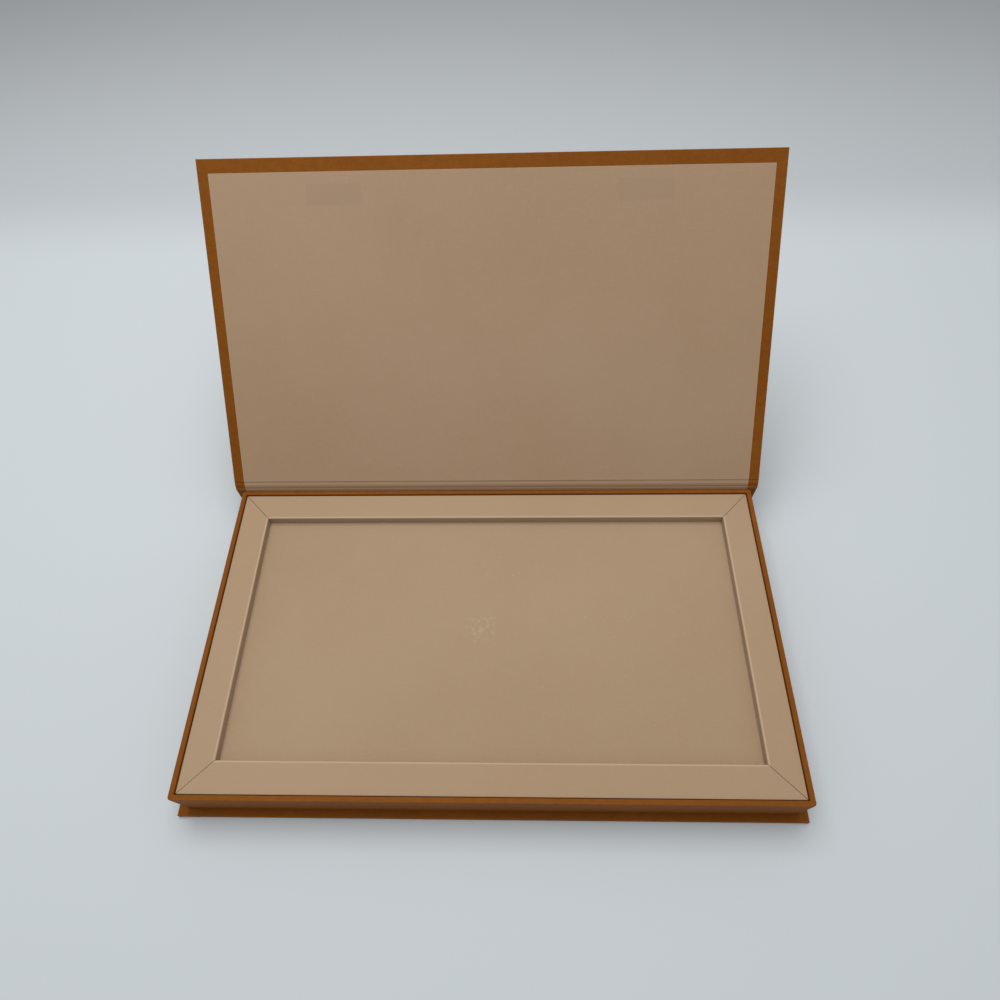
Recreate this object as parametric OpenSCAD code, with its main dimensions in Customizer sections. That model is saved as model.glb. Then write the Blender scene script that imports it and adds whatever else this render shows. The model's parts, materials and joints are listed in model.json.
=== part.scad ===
// Clamshell book box: a hinged case of three covered boards round a shallow tray with a mitred insert frame

/* [Case] */
// Width of the case, along the hinge
case_w = 328; // [200:1:420]
// Depth of the closed case, from its front edge to the outer face of the spine
case_d = 189.5; // [140:0.5:300]
// Height of the tray's rim above the table
rim_h = 26.8; // [22:0.1:60]
// How far the lid and base stand out past the tray
square = 4; // [1.5:0.1:8]
// Thickness of the boards in the lid, spine and base
board_t = 2; // [1.6:0.1:3]
// Thickness of the textured cover paper
cover_t = 0.16; // [0.1:0.01:0.3]
// Thickness of the pale lining paper
liner_t = 0.12; // [0.08:0.01:0.3]
// Width of the cover paper turned in over the edges of the boards
turn_in = 15; // [10:0.5:22]

/* [Hinge] */
// Angle that the open lid makes with the closed lid
lid_angle = 132; // [95:0.5:150]
// Free length of cover between the top of the spine and the lid board
hinge_reach = 3.5; // [3:0.1:5]
// Gap between the closed lid and the tray's rim
lid_clear = 0.1; // [0.05:0.05:0.5]
// How far the spine board stops short of the hinge line
spine_drop = 0.9; // [0.8:0.1:1.6]
// Gap between the lid's edge and the lining that bends over the hinge
hinge_play = 0.1; // [0.1:0.05:0.3]
// Gap between the base board and the spine board
base_joint = 0.8; // [0.4:0.1:2]

/* [Lining] */
// Width of cover paper that shows at each side of the lid's lining
lining_side = 6.2; // [3:0.1:9]
// Width of cover paper that shows along the lid's front edge
lining_front = 7.6; // [3:0.1:9]
// Gap between the filler sheet and the turned-in paper
filler_play = 0.2; // [0.1:0.1:1]

/* [Tray] */
// Thickness of the board in the tray's walls
wall_t = 2.4; // [1.6:0.1:3]
// Radius of the tray's upright corners
corner_r = 1.8; // [0.6:0.1:2.5]
// Depth of the cover paper turned in below the rim
rim_turn = 9; // [6:0.5:12]

/* [Insert] */
// Width of the insert frame's rails
rail_w = 16.5; // [14:0.5:30]
// How far the frame's top lies below the rim
rail_drop = 1; // [0.5:0.1:3]
// Gap between the frame and the tray's walls
rail_gap = 0.4; // [0.2:0.1:1]
// Depth of the recess inside the frame
recess_depth = 5.2; // [3:0.1:9]
// Radius of the rails' long top edges
rail_round = 0.9; // [0.4:0.1:1.5]
// Open seam at each mitre
mitre_gap = 0.1; // [0.05:0.05:0.4]
// Gap between the panel's paper and the rails
panel_play = 0.1; // [0.05:0.05:0.5]
// Width of the riser strips below the panel
riser_w = 12; // [8:1:20]
// How far the outer riser strips stand in from the tray's walls
riser_inset = 2; // [0.5:0.5:6]

/* [Magnets] */
// Length of each magnet and keeper plate, along the hinge
magnet_l = 30; // [16:1:36]
// Width of each magnet
magnet_w = 10; // [6:0.5:14]
// Thickness of each magnet
magnet_t = 1.5; // [0.8:0.1:1.6]
// Distance from the middle of the box to each magnet's centre
magnet_x = 87.5; // [40:0.5:90]
// Distance from the lid's front edge to each magnet's centre
magnet_in = 19.5; // [16:0.5:24]
// Width of each keeper plate
keeper_w = 8; // [5:0.5:10]
// Thickness of each keeper plate
keeper_t = 1; // [0.5:0.1:1.5]
// Rail left between a keeper plate and the recess
keeper_edge = 2.5; // [2:0.1:3]
// Clearance all round a magnet or keeper plate in its pocket
pocket_play = 0.1; // [0.05:0.05:0.4]

/* [Hidden] */
$fn = 48;
cut = 1;
cover_colour = "peru";
lining_colour = "wheat";
board_colour = "darkgray";
metal_colour = "silver";

// Finished thickness of the lid and of the spine
leaf_t = board_t + 2 * cover_t + liner_t;
case_front = -case_d / 2;
case_back = case_d / 2;
axis_z = rim_h + lid_clear + leaf_t;
spine_top = axis_z - spine_drop;
lid_back = case_back - hinge_reach;
liner_w = case_w - 2 * lining_side;

// Tray
base_top = board_t + 2 * cover_t;
tray_w = case_w - 2 * square;
tray_front = case_front + square;
tray_back = case_back - leaf_t;
tray_d = tray_back - tray_front;
tray_y = (tray_front + tray_back) / 2;
wall_z = base_top + cover_t;
wall_h = rim_h - cover_t - wall_z;
wall_in = wall_t + cover_t;
wall_full = wall_t + 2 * cover_t;
bottom_top = wall_z + board_t;

// Insert
frame_w = tray_w - 2 * (wall_full + rail_gap);
frame_d = tray_d - 2 * (wall_full + rail_gap);
rail_top = rim_h - rail_drop;
panel_top = rail_top - recess_depth;
rail_z = panel_top - liner_t;
rail_h = rail_top - rail_z;
rail_core_h = rail_h - liner_t;
panel_under = rail_z - board_t;
riser_h = panel_under - bottom_top;
riser_span_w = tray_w - 2 * (wall_full + riser_inset);
riser_span_d = tray_d - 2 * (wall_full + riser_inset);
keeper_y = tray_y - frame_d / 2 + rail_w - keeper_edge - keeper_w / 2;
magnet_y = case_front + magnet_in;

// The open lid's own directions in the upright plane across the hinge: away from the hinge, and inwards
hinge = [case_back, axis_z];
along = [-cos(lid_angle), sin(lid_angle)];
inward = [-sin(lid_angle), -cos(lid_angle)];
lid_edge = hinge + hinge_reach * along;

// The lining over the hinge: off the lid's inner edge, down into the groove, over the spine's top edge
groove_depth = 0.7;
groove_in = 0.65;
groove_start = [0.1, 1];
ridge_in = 1.75;
ridge_drop = 0.4;
ridge_end = 0.1;
lap = 0.3;
liner_path = [
    lid_edge + leaf_t * inward - hinge_play * along,
    hinge + groove_start,
    hinge + [-groove_in, -groove_depth],
    hinge + [-ridge_in, -ridge_drop],
    [tray_back, spine_top + ridge_end],
    [tray_back, spine_top - lap],
];
cover_path = [[case_back, spine_top], hinge, lid_edge];

// A block from one corner to the other
module block(low, high) {
    translate(low) cube(high - low);
}

// A flat outline with true arcs at its corners
module rounded_rect(w, d, r) {
    square([w - 2 * r, d], center = true);
    square([w, d - 2 * r], center = true);
    for (sx = [-1, 1], sy = [-1, 1])
        translate([sx * (w / 2 - r), sy * (d / 2 - r)]) circle(r);
}

// Unit vector square to the left of a path's stretch
function left_of(path, i) = let (v = path[i + 1] - path[i]) [-v[1], v[0]] / norm(v);

// The path moved sideways by t, with its corners kept
function moved(path, t) = [
    for (i = [0:len(path) - 1])
        let (a = left_of(path, max(i - 1, 0)), b = left_of(path, min(i, len(path) - 2)))
            path[i] + t * (a + b) / (1 + a * b)
];

// A sheet of thickness t that follows a path across the hinge
module ribbon(path, t, width) {
    other = moved(path, t);
    back = [for (i = [len(path) - 1:-1:0]) other[i]];
    rotate([90, 0, 90]) linear_extrude(width, center = true) polygon(concat(path, back));
}

// Turns what is drawn for the closed lid to the open lid's place
module opened() {
    translate([0, case_back, axis_z])
        rotate([-lid_angle, 0, 0])
            translate([0, -case_back, -axis_z]) children();
}

// Base of the case
module base_board() {
    color(board_colour)
        block([-case_w / 2 + cover_t, case_front + cover_t, cover_t],
              [case_w / 2 - cover_t, tray_back - base_joint, base_top - cover_t]);
}

module base_cover() {
    color(cover_colour) difference() {
        block([-case_w / 2, case_front, 0], [case_w / 2, tray_back + liner_t, base_top]);
        block([-case_w / 2 + cover_t, case_front + cover_t, cover_t],
              [case_w / 2 - cover_t, tray_back + cut, base_top - cover_t]);
        block([-case_w / 2 + turn_in, case_front + turn_in, cover_t],
              [case_w / 2 - turn_in, tray_back + cut, base_top + cut]);
    }
}

// Spine of the case, glued to the tray's back wall
module spine_board() {
    color(board_colour)
        block([-case_w / 2 + cover_t, case_back - cover_t - board_t, cover_t],
              [case_w / 2 - cover_t, case_back - cover_t, spine_top]);
}

module spine_cover() {
    color(cover_colour) difference() {
        block([-case_w / 2, tray_back + liner_t, 0], [case_w / 2, case_back, spine_top]);
        block([-case_w / 2 + cover_t, tray_back + liner_t + cover_t, cover_t],
              [case_w / 2 - cover_t, case_back - cover_t, spine_top + cut]);
        block([-case_w / 2 + turn_in, tray_back, cover_t],
              [case_w / 2 - turn_in, case_back - cover_t, spine_top + cut]);
    }
}

module spine_filler() {
    color("burlywood")
        block([-case_w / 2 + turn_in + filler_play, tray_back + liner_t, cover_t],
              [case_w / 2 - turn_in - filler_play, tray_back + liner_t + cover_t, spine_top]);
}

module spine_liner() {
    color(lining_colour)
        block([-liner_w / 2, tray_back, base_top],
              [liner_w / 2, tray_back + liner_t, spine_top - lap]);
}

// Tray
module tray_bottom() {
    color(board_colour)
        block([-tray_w / 2 + wall_in, tray_front + wall_in, wall_z],
              [tray_w / 2 - wall_in, tray_back - wall_in, bottom_top]);
}

// The boards of the walls as one ring, from which each wall is cut
module wall_ring() {
    translate([0, tray_y, wall_z]) linear_extrude(wall_h) difference() {
        rounded_rect(tray_w - 2 * cover_t, tray_d - 2 * cover_t, corner_r - cover_t);
        square([tray_w - 2 * wall_in, tray_d - 2 * wall_in], center = true);
    }
}

// A front or back wall runs the tray's full width
module long_wall(side) {
    edge = tray_y + side * tray_d / 2;
    color(board_colour) intersection() {
        wall_ring();
        translate([0, edge - side * wall_in / 2, rim_h / 2]) cube([tray_w, wall_in, rim_h], center = true);
    }
}

// A side wall stands between the front and back walls
module side_wall(side) {
    near = side * (tray_w / 2 - wall_in);
    far = side * (tray_w / 2 - cover_t);
    color(board_colour)
        block([min(near, far), tray_front + wall_in, wall_z],
              [max(near, far), tray_back - wall_in, wall_z + wall_h]);
}

module wall_front() { long_wall(-1); }
module wall_back() { long_wall(1); }
module wall_left() { side_wall(-1); }
module wall_right() { side_wall(1); }

// Cover paper of the tray: up the outside, over the rim, down the inside, and turned under the bottom
module tray_wrap() {
    inner_w = tray_w - 2 * wall_full;
    inner_d = tray_d - 2 * wall_full;
    color(cover_colour) difference() {
        translate([0, tray_y, base_top])
            linear_extrude(rim_h - base_top) rounded_rect(tray_w, tray_d, corner_r);
        wall_ring();
        translate([0, tray_y, rim_h / 2 + base_top + cover_t])
            cube([inner_w, inner_d, rim_h], center = true);
        block([-tray_w / 2 + wall_in, tray_front + wall_in, wall_z],
              [tray_w / 2 - wall_in, tray_back - wall_in, rim_h - rim_turn]);
        block([-tray_w / 2 + turn_in, tray_front + turn_in, 0],
              [tray_w / 2 - turn_in, tray_back - turn_in, rim_h]);
    }
}

// Riser strips that carry the panel above the tray's bottom
module riser(w, d, x, y) {
    color("tan") translate([x, y, bottom_top + riser_h / 2]) cube([w, d, riser_h], center = true);
}

module riser_front() { riser(riser_span_w, riser_w, 0, tray_y - (riser_span_d - riser_w) / 2); }
module riser_back() { riser(riser_span_w, riser_w, 0, tray_y + (riser_span_d - riser_w) / 2); }
module riser_left() { riser(riser_w, riser_span_d - 2 * riser_w, -(riser_span_w - riser_w) / 2, tray_y); }
module riser_right() { riser(riser_w, riser_span_d - 2 * riser_w, (riser_span_w - riser_w) / 2, tray_y); }
module riser_middle() { riser(riser_w, riser_span_d - 2 * riser_w, 0, tray_y); }

// Panel below the frame, its upper side the floor of the recess
module panel_board() {
    color(board_colour) translate([0, tray_y, panel_under + board_t / 2])
        cube([frame_w, frame_d, board_t], center = true);
}

module panel_paper() {
    inset = 2 * (rail_w + panel_play);
    color(lining_colour) translate([0, tray_y, rail_z + liner_t / 2])
        cube([frame_w - inset, frame_d - inset, liner_t], center = true);
}

// Cross-section of a rail, its outer side on x = 0, with rounded top edges
module rail_section(inset, h, r) {
    w = rail_w - 2 * inset;
    translate([inset, 0]) {
        square([w, h - r]);
        translate([r, 0]) square([w - 2 * r, h]);
        for (x = [r, w - r]) translate([x, h - r]) circle(r);
    }
}

// A section run along x and cut to mitred ends, its outer side on the x axis
module mitred(span, gap) {
    half = span / 2 - gap;
    intersection() {
        linear_extrude(rail_h)
            polygon([[-half, 0], [half, 0], [half - rail_w, rail_w], [-half + rail_w, rail_w]]);
        rotate([90, 0, 90]) linear_extrude(span, center = true) children();
    }
}

module rail_core(span) {
    color("gainsboro") mitred(span, mitre_gap + sqrt(2) * liner_t)
        rail_section(liner_t, rail_core_h, rail_round - liner_t);
}

module rail_skin(span) {
    color(lining_colour) difference() {
        mitred(span, mitre_gap) rail_section(0, rail_h, rail_round);
        rail_core(span);
    }
}

// Places a rail drawn along x at one side of the frame
module at_front() { translate([0, tray_y - frame_d / 2, rail_z]) children(); }
module at_back() { translate([0, tray_y + frame_d / 2, rail_z]) rotate([0, 0, 180]) children(); }
module at_left() { translate([-frame_w / 2, tray_y, rail_z]) rotate([0, 0, -90]) children(); }
module at_right() { translate([frame_w / 2, tray_y, rail_z]) rotate([0, 0, 90]) children(); }

module keeper_plate(side, play) {
    top = rail_z + rail_core_h;
    translate([side * magnet_x, keeper_y, top - keeper_t / 2])
        cube([magnet_l + 2 * play, keeper_w + 2 * play, keeper_t + 2 * play], center = true);
}

module rail_front() {
    color("gainsboro") difference() {
        at_front() rail_core(frame_w);
        for (side = [-1, 1]) keeper_plate(side, pocket_play);
    }
}

module rail_back() { at_back() rail_core(frame_w); }
module rail_left() { at_left() rail_core(frame_d); }
module rail_right() { at_right() rail_core(frame_d); }
module rail_paper_front() { at_front() rail_skin(frame_w); }
module rail_paper_back() { at_back() rail_skin(frame_w); }
module rail_paper_left() { at_left() rail_skin(frame_d); }
module rail_paper_right() { at_right() rail_skin(frame_d); }
module keeper_left() { color(metal_colour) keeper_plate(-1, 0); }
module keeper_right() { color(metal_colour) keeper_plate(1, 0); }

// Papers that bend at the hinge, drawn in the open lid's place
module hinge_cover() { color(cover_colour) ribbon(cover_path, cover_t, case_w); }
module hinge_liner() { color(lining_colour) ribbon(liner_path, liner_t, liner_w); }

// Lid, drawn closed and then opened
module magnet_block(side, play) {
    under = axis_z - cover_t - board_t;
    translate([side * magnet_x, magnet_y, under + magnet_t / 2])
        cube([magnet_l + 2 * play, magnet_w + 2 * play, magnet_t + 2 * play], center = true);
}

module lid_board() {
    color(board_colour) opened() difference() {
        block([-case_w / 2 + cover_t, case_front + cover_t, axis_z - cover_t - board_t],
              [case_w / 2 - cover_t, lid_back, axis_z - cover_t]);
        for (side = [-1, 1]) magnet_block(side, pocket_play);
    }
}

module lid_cover() {
    color(cover_colour) opened() difference() {
        block([-case_w / 2, case_front, axis_z - leaf_t + liner_t], [case_w / 2, lid_back, axis_z]);
        block([-case_w / 2 + cover_t, case_front + cover_t, axis_z - cover_t - board_t],
              [case_w / 2 - cover_t, lid_back + cut, axis_z - cover_t]);
        block([-case_w / 2 + turn_in, case_front + turn_in, axis_z - leaf_t],
              [case_w / 2 - turn_in, lid_back + cut, axis_z - cover_t]);
    }
}

module lid_filler() {
    color("burlywood") opened()
        block([-case_w / 2 + turn_in + filler_play, case_front + turn_in + filler_play, axis_z - leaf_t + liner_t],
              [case_w / 2 - turn_in - filler_play, lid_back, axis_z - cover_t - board_t]);
}

module lid_liner() {
    color(lining_colour) opened()
        block([-liner_w / 2, case_front + lining_front, axis_z - leaf_t],
              [liner_w / 2, lid_back, axis_z - leaf_t + liner_t]);
}

module magnet_left() { color(metal_colour) opened() magnet_block(-1, 0); }
module magnet_right() { color(metal_colour) opened() magnet_block(1, 0); }

base_board();
base_cover();
spine_board();
spine_cover();
spine_filler();
spine_liner();
tray_bottom();
wall_front();
wall_back();
wall_left();
wall_right();
tray_wrap();
riser_front();
riser_back();
riser_left();
riser_right();
riser_middle();
panel_board();
panel_paper();
rail_front();
rail_back();
rail_left();
rail_right();
rail_paper_front();
rail_paper_back();
rail_paper_left();
rail_paper_right();
keeper_left();
keeper_right();
hinge_cover();
hinge_liner();
lid_board();
lid_cover();
lid_filler();
lid_liner();
magnet_left();
magnet_right();
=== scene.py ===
import json
import math

import bmesh
import bpy
from mathutils import Matrix, Vector


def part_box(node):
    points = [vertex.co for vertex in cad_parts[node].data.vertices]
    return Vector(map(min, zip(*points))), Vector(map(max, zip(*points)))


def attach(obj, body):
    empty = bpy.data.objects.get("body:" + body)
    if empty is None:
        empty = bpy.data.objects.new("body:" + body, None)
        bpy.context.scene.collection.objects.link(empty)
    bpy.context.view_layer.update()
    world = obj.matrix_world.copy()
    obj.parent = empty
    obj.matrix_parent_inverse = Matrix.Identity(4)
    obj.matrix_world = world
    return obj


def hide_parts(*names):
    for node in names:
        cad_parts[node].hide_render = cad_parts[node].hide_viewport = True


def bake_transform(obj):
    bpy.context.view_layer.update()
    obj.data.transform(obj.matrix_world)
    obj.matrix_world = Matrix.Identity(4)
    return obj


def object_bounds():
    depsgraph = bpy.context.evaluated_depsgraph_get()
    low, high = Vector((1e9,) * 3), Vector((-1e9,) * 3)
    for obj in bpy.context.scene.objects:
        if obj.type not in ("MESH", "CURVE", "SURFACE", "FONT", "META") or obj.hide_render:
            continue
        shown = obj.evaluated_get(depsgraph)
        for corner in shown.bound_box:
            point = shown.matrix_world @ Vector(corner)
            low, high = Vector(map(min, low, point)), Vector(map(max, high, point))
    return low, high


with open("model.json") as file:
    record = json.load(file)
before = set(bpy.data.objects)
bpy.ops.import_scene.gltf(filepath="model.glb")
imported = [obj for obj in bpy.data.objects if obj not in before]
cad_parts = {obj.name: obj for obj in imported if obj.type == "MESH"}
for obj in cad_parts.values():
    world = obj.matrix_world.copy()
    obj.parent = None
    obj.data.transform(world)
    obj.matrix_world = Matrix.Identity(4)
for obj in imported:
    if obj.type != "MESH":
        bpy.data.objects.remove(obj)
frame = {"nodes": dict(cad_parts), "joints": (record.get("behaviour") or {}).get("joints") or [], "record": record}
cadLow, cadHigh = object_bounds()
mm = 0.001
print("frame loaded")

# The camera of the photo: metres and degrees, yaw from +Y towards +X, pitch below the horizon
cameraView = {
    "place": (0.0180, -0.1450, 0.3945),
    "yaw": -3.48,
    "pitch": 57.93,
    "roll": -3.19,
    "lens": 25.0,
    "sensor": 36.0,
}


def addCamera(view):
    yaw, pitch, roll = (math.radians(view[k]) for k in ("yaw", "pitch", "roll"))
    ahead = Vector((math.sin(yaw) * math.cos(pitch), math.cos(yaw) * math.cos(pitch), -math.sin(pitch)))
    level = ahead.cross(Vector((0, 0, 1))).normalized()
    upright = level.cross(ahead)
    right = level * math.cos(roll) + upright * math.sin(roll)
    up = upright * math.cos(roll) - level * math.sin(roll)
    bpy.ops.object.camera_add()
    camera = bpy.context.object
    camera.name = "photoCamera"
    turn = Matrix((right, up, -ahead)).transposed().to_4x4()
    camera.matrix_world = Matrix.Translation(view["place"]) @ turn
    camera.data.lens = view["lens"]
    camera.data.sensor_width = view["sensor"]
    camera.data.clip_start = 0.01
    bpy.context.scene.camera = camera


addCamera(cameraView)
bpy.context.scene.view_settings.view_transform = "Standard"
print("camera set")

# Places that the pieces are worked out from, all read from the frame
lidHinge = frame["joints"][0]
hingePoint = Vector(lidHinge["pos_m"])
lidTurn = math.radians(lidHinge["range_deg"][1])
baseLow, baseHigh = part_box("base_cover")
trayLow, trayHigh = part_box("tray_wrap")
spineLow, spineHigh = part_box("spine_cover")
panelLow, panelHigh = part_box("panel_paper")
boardLow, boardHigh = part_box("base_board")
linerLow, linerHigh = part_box("spine_liner")
wallLow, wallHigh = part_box("wall_left")
railLow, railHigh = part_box("rail_paper_front")
sideRailLow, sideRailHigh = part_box("rail_paper_left")
coverSheet = boardLow.z - baseLow.z
liningSheet = linerHigh.y - linerLow.y
boardThick = boardHigh.z - boardLow.z
leafThick = boardThick + 2 * coverSheet + liningSheet
wallFull = wallHigh.x - wallLow.x + 2 * coverSheet
caseWidth = baseHigh.x - baseLow.x
liningWidth = linerHigh.x - linerLow.x
trayMid = (trayLow.y + trayHigh.y) / 2


# Turns the closed lid about the hinge into its open place
toHinge = Matrix.Translation(hingePoint)
openLid = toHinge @ Matrix.Rotation(-lidTurn, 4, "X") @ toHinge.inverted()


# The lid's edges while it is closed, from the frame's open lid turned back
def closedBox(node):
    back = openLid.inverted()
    points = [back @ v.co for v in frame["nodes"][node].data.vertices]
    low = Vector([min(p[i] for p in points) for i in range(3)])
    high = Vector([max(p[i] for p in points) for i in range(3)])
    return low, high


lidLow, lidHigh = closedBox("lid_cover")
lidLiningLow, lidLiningHigh = closedBox("lid_liner")
magnetBoxes = [closedBox("magnet_left"), closedBox("magnet_right")]


def deselectAll():
    bpy.ops.object.select_all(action="DESELECT")


def addBlock(name, low, high):
    deselectAll()
    bpy.ops.mesh.primitive_cube_add(size=1, location=(low + high) / 2)
    block = bpy.context.object
    block.name = name
    block.scale = high - low
    bpy.ops.object.transform_apply(location=True, rotation=True, scale=True)
    return block


# Shares, radians and metres that the tests of faces, edges and points go by
tolerance = {
    "facing": 0.99,
    "upright": 0.9,
    "corner": 1.0,
    "near": 1e-5,
    "sameSpot": 1e-6,
}
smoothAngle = math.radians(40)


# Opens edit mode with only those faces, edges or vertices selected that pass the test
def pick(piece, kind, test):
    deselectAll()
    bpy.context.view_layer.objects.active = piece
    piece.select_set(True)
    bpy.ops.object.mode_set(mode="EDIT")
    bpy.ops.mesh.select_mode(type=kind)
    bpy.ops.mesh.select_all(action="DESELECT")
    mesh = bmesh.from_edit_mesh(piece.data)
    mesh.normal_update()
    items = {"FACE": mesh.faces, "EDGE": mesh.edges, "VERT": mesh.verts}[kind]
    for item in items:
        if test(item):
            item.select_set(True)
    mesh.select_flush_mode()
    bmesh.update_edit_mesh(piece.data)


def leaveEdit():
    bpy.ops.object.mode_set(mode="OBJECT")


def faces(piece, way, act):
    way = Vector(way)
    pick(piece, "FACE", lambda f: f.normal.dot(way) > tolerance["facing"])
    act()
    leaveEdit()


def bevelWhere(piece, test, width, steps):
    pick(piece, "EDGE", test)
    bpy.ops.mesh.bevel(offset=width, segments=steps, profile=0.5, affect="EDGES")
    leaveEdit()


def isCorner(edge):
    return len(edge.link_faces) == 2 and edge.calc_face_angle() > tolerance["corner"]


def near(a, b, reach=tolerance["near"]):
    return abs(a - b) < reach


def upright(edge):
    return abs(edge.verts[0].co.z - edge.verts[1].co.z) > tolerance["upright"] * edge.calc_length()


def thicken(piece, sheet, side=-1):
    wall = piece.modifiers.new("sheet", "SOLIDIFY")
    wall.thickness = sheet
    wall.offset = side
    wall.use_even_offset = True
    applyAll(piece)


def applyAll(piece):
    deselectAll()
    bpy.context.view_layer.objects.active = piece
    piece.select_set(True)
    for m in list(piece.modifiers):
        bpy.ops.object.modifier_apply(modifier=m.name)


# Keeps the place that a point has on the closed box, which the papers' grain follows
def keepPlace(piece):
    place = piece.data.attributes.new("flatPlace", "FLOAT_VECTOR", "POINT")
    place.data.foreach_set("vector", [c for v in piece.data.vertices for c in v.co])


def soften(piece):
    deselectAll()
    bpy.context.view_layer.objects.active = piece
    piece.select_set(True)
    bpy.ops.object.shade_smooth_by_angle(angle=smoothAngle)
    even = piece.modifiers.new("even", "WEIGHTED_NORMAL")
    even.keep_sharp = True
    even.mode = "FACE_AREA"
    bpy.ops.object.modifier_apply(modifier="even")


def place(piece, matrix):
    deselectAll()
    bpy.context.view_layer.objects.active = piece
    piece.select_set(True)
    piece.matrix_world = matrix
    bpy.ops.object.transform_apply(location=True, rotation=True, scale=True)


def finishPiece(piece, material, body, nodes, opened=False):
    keepPlace(piece)
    if opened:
        place(piece, openLid)
    soften(piece)
    piece.data.materials.clear()
    piece.data.materials.append(material)
    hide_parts(*nodes)
    if body:
        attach(piece, body)


# The groups put out masks, tones and heights, and the colours stay in the materials
def newGroup(name, inputs, outputs):
    group = bpy.data.node_groups.new(name, "ShaderNodeTree")
    for label, kind, value in inputs:
        socket = group.interface.new_socket(label, in_out="INPUT", socket_type=kind)
        if value is not None:
            socket.default_value = value
    for label, kind in outputs:
        group.interface.new_socket(label, in_out="OUTPUT", socket_type=kind)
    return group, group.nodes.new("NodeGroupInput"), group.nodes.new("NodeGroupOutput")


def maths(tree, kind, a, b=None, clamp=False):
    node = tree.nodes.new("ShaderNodeMath")
    node.operation = kind
    node.use_clamp = clamp
    for socket, value in zip(node.inputs, (a, b)):
        if isinstance(value, bpy.types.NodeSocket):
            tree.links.new(value, socket)
        elif value is not None:
            socket.default_value = value
    return node.outputs[0]


def noise(tree, vector, scale, detail=2.0, rough=0.5):
    node = tree.nodes.new("ShaderNodeTexNoise")
    tree.links.new(vector, node.inputs["Vector"])
    if isinstance(scale, bpy.types.NodeSocket):
        tree.links.new(scale, node.inputs["Scale"])
    else:
        node.inputs["Scale"].default_value = scale
    node.inputs["Detail"].default_value = detail
    node.inputs["Roughness"].default_value = rough
    return node.outputs["Fac"]


def stretched(tree, vector, scale):
    node = tree.nodes.new("ShaderNodeMapping")
    tree.links.new(vector, node.inputs["Vector"])
    node.inputs["Scale"].default_value = scale
    return node.outputs["Vector"]


def ramped(tree, value, low, high, toLow=0.0, toHigh=1.0):
    node = tree.nodes.new("ShaderNodeMapRange")
    node.interpolation_type = "SMOOTHSTEP"
    tree.links.new(value, node.inputs["Value"])
    for label, number in (("From Min", low), ("From Max", high), ("To Min", toLow), ("To Max", toHigh)):
        if isinstance(number, bpy.types.NodeSocket):
            tree.links.new(number, node.inputs[label])
        else:
            node.inputs[label].default_value = number
    return node.outputs["Result"]


def tint(tree, share, a, b):
    node = tree.nodes.new("ShaderNodeMix")
    node.data_type = "RGBA"
    colours = [s for s in node.inputs if s.type == "RGBA"]
    for socket, value in ((node.inputs[0], share), (colours[0], a), (colours[1], b)):
        if isinstance(value, bpy.types.NodeSocket):
            tree.links.new(value, socket)
        else:
            socket.default_value = value
    return [s for s in node.outputs if s.type == "RGBA"][0]


# Lays a colour over another by a share of a mask
def over(tree, base, colour, mask, share):
    return tint(tree, maths(tree, "MULTIPLY", mask, share), base, colour)


# Long threads or fibres that lie both ways across a sheet
def twoWays(tree, vector, look):
    ways = []
    for scale, limits in ((look["along"], look["alongRange"]), (look["up"], look["upRange"])):
        fibres = noise(tree, stretched(tree, vector, scale), 1.0, look["fibreDetail"])
        ways.append(ramped(tree, fibres, *limits))
    return maths(tree, "ADD", ways[0], ways[1])


# Where a point lies from the middle of a box, and the box's half size, each split by axis
def fromMiddle(group, start):
    away = group.nodes.new("ShaderNodeVectorMath")
    away.operation = "SUBTRACT"
    group.links.new(start.outputs["Vector"], away.inputs[0])
    group.links.new(start.outputs["Middle"], away.inputs[1])
    split = group.nodes.new("ShaderNodeSeparateXYZ")
    group.links.new(away.outputs[0], split.inputs[0])
    size = group.nodes.new("ShaderNodeSeparateXYZ")
    group.links.new(start.outputs["Half Size"], size.inputs[0])
    return split.outputs, size.outputs


canvasLook = {
    "distortion": 1.4,
    "detail": 2.0,
    "detailScale": 1.6,
    "crossShare": 0.7,
    "patchScale": 900.0,
    "patchRange": (0.32, 0.68, 0.1, 1.0),
    "along": (220.0, 1500.0, 1500.0),
    "alongRange": (0.55, 0.75),
    "up": (1500.0, 220.0, 1500.0),
    "upRange": (0.55, 0.75),
    "fibreDetail": 2.0,
    "fibreHeight": 0.6,
    "toneShare": 0.25,
}


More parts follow.
